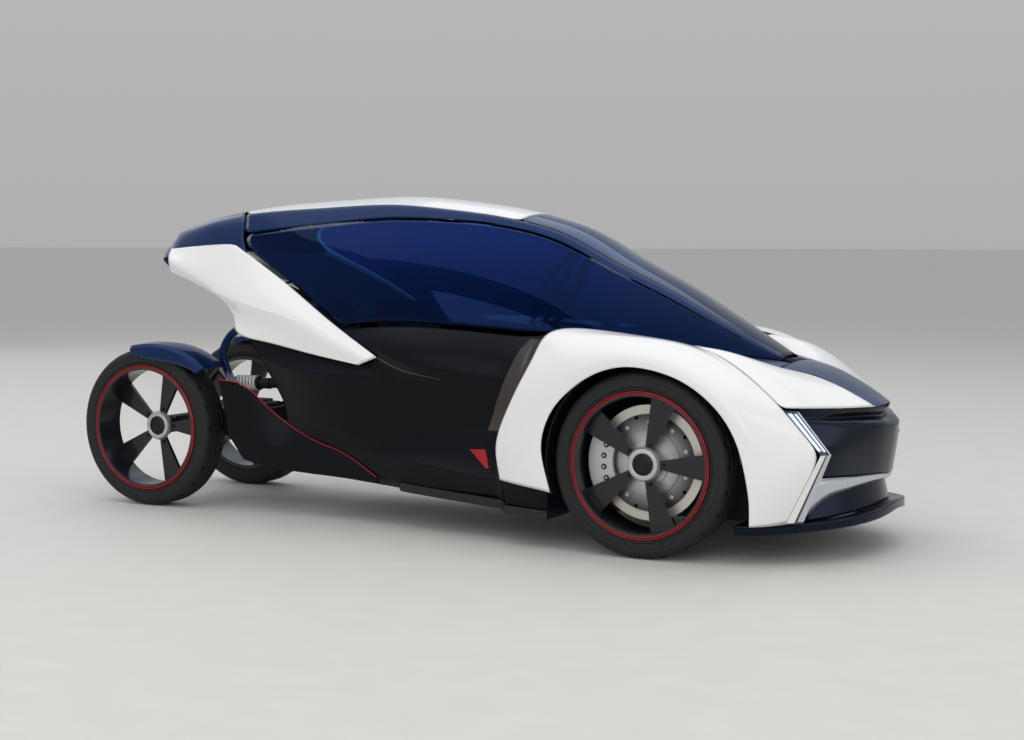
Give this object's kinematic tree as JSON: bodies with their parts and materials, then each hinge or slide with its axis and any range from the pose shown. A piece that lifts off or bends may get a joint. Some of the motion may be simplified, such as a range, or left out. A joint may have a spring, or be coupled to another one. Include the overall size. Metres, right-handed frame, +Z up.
{
  "type": "concept car",
  "caption": "Low tandem two-seat electric concept car with wide front wings, narrow open rear wheels, a long tinted canopy that tilts forward, and steered front wheels.",
  "frame": {"origin": "on the ground under the middle of the car's length and width", "axes": "+X forward, +Y to the car's left, +Z up"},
  "size_m": [3.1052, 1.161, 1.1753],
  "materials": {
    "white_paint": "gloss pearl white lacquer",
    "navy_paint": "gloss blue-black lacquer",
    "black_satin": "satin black",
    "black_gloss": "gloss black",
    "tinted_glass": "dark blue tint",
    "silver": "bright",
    "lamp": "clear cool white",
    "chassis_black": "matt black",
    "motor_case": "cast",
    "damper_white": "white powder coat",
    "seat_cloth": "dark cloth",
    "cabin_plastic": "matt",
    "knuckle_steel": "as cast",
    "caliper_alloy": "bead blasted",
    "disc_steel": "turned",
    "tyre_rubber": "black",
    "rim_anthracite": "gloss anthracite"
  },
  "bodies": {
    "chassis": {"wings": "white_paint", "hood_halves": "white_paint", "shoulders": "white_paint", "tail_cap": "navy_paint", "rear_fairings": "navy_paint", "hood_spine": "navy_paint", "cowl_strips": "navy_paint", "rear_hoops": "navy_paint", "mudguards": "navy_paint", "splitter": "navy_paint", "body_sides": "black_satin", "rear_bulkhead": "black_satin", "nose_grille": "black_gloss", "nose_lower": "black_gloss", "nose_trim": "silver", "light_blades": "lamp", "floor_pan": "chassis_black", "foot_tunnel": "chassis_black", "wheel_liners": "chassis_black", "front_arms": "chassis_black", "swingarm": "chassis_black", "drive_motor": "motor_case", "battery_block": "motor_case", "dampers": "damper_white", "seat_front": "seat_cloth", "seat_rear": "seat_cloth", "dashboard": "cabin_plastic"},
    "canopy": {"roof_panel": "white_paint", "windscreen": "tinted_glass", "canopy_rails": "navy_paint", "side_glass": "tinted_glass", "canopy_hinge": "chassis_black"},
    "steering_wheel": {"steering_wheel": "cabin_plastic"},
    "knuckle_left": {"knuckle_l": "knuckle_steel", "caliper_l": "caliper_alloy"},
    "knuckle_right": {"knuckle_r": "knuckle_steel", "caliper_r": "caliper_alloy"},
    "wheel_front_left": {"tyre_fl": "tyre_rubber", "rim_fl": "rim_anthracite", "disc_fl": "disc_steel"},
    "wheel_front_right": {"tyre_fr": "tyre_rubber", "rim_fr": "rim_anthracite", "disc_fr": "disc_steel"},
    "wheel_rear_left": {"tyre_rl": "tyre_rubber", "rim_rl": "rim_anthracite"},
    "wheel_rear_right": {"tyre_rr": "tyre_rubber", "rim_rr": "rim_anthracite"}
  },
  "joints": [
    {"name": "steer_right", "type": "hinge", "parent": "chassis", "child": "knuckle_right", "pos_m": [0.869, -0.42, 0.3], "axis": [0, 0, 1], "range_deg": [-28, 28]},
    {"name": "steer_left", "type": "hinge", "parent": "chassis", "child": "knuckle_left", "pos_m": [0.869, 0.42, 0.3], "axis": [0, 0, 1], "range_deg": [-28, 28]},
    {"name": "steering_wheel_turn", "type": "hinge", "parent": "chassis", "child": "steering_wheel", "pos_m": [0.369, 0, 0.8], "axis": [-0.8829, 0, 0.4695], "range_deg": [-112, 112]},
    {"name": "wheel_front_right_spin", "type": "hinge", "parent": "knuckle_right", "child": "wheel_front_right", "pos_m": [0.869, -0.475, 0.3], "axis": [0, 1, 0], "continuous": true},
    {"name": "wheel_front_left_spin", "type": "hinge", "parent": "knuckle_left", "child": "wheel_front_left", "pos_m": [0.869, 0.475, 0.3], "axis": [0, 1, 0], "continuous": true},
    {"name": "wheel_rear_right_spin", "type": "hinge", "parent": "chassis", "child": "wheel_rear_right", "pos_m": [-1.251, -0.32, 0.3], "axis": [0, 1, 0], "continuous": true},
    {"name": "wheel_rear_left_spin", "type": "hinge", "parent": "chassis", "child": "wheel_rear_left", "pos_m": [-1.251, 0.32, 0.3], "axis": [0, 1, 0], "continuous": true},
    {"name": "canopy_tilt", "type": "hinge", "parent": "chassis", "child": "canopy", "pos_m": [1.202, 0, 0.61], "axis": [0, 1, 0], "range_deg": [0, 40]}
  ],
  "couplings": [
    {"joint": "steer_left", "follows": "steer_right", "ratio": 1},
    {"joint": "steering_wheel_turn", "follows": "steer_right", "ratio": 4}
  ]
}
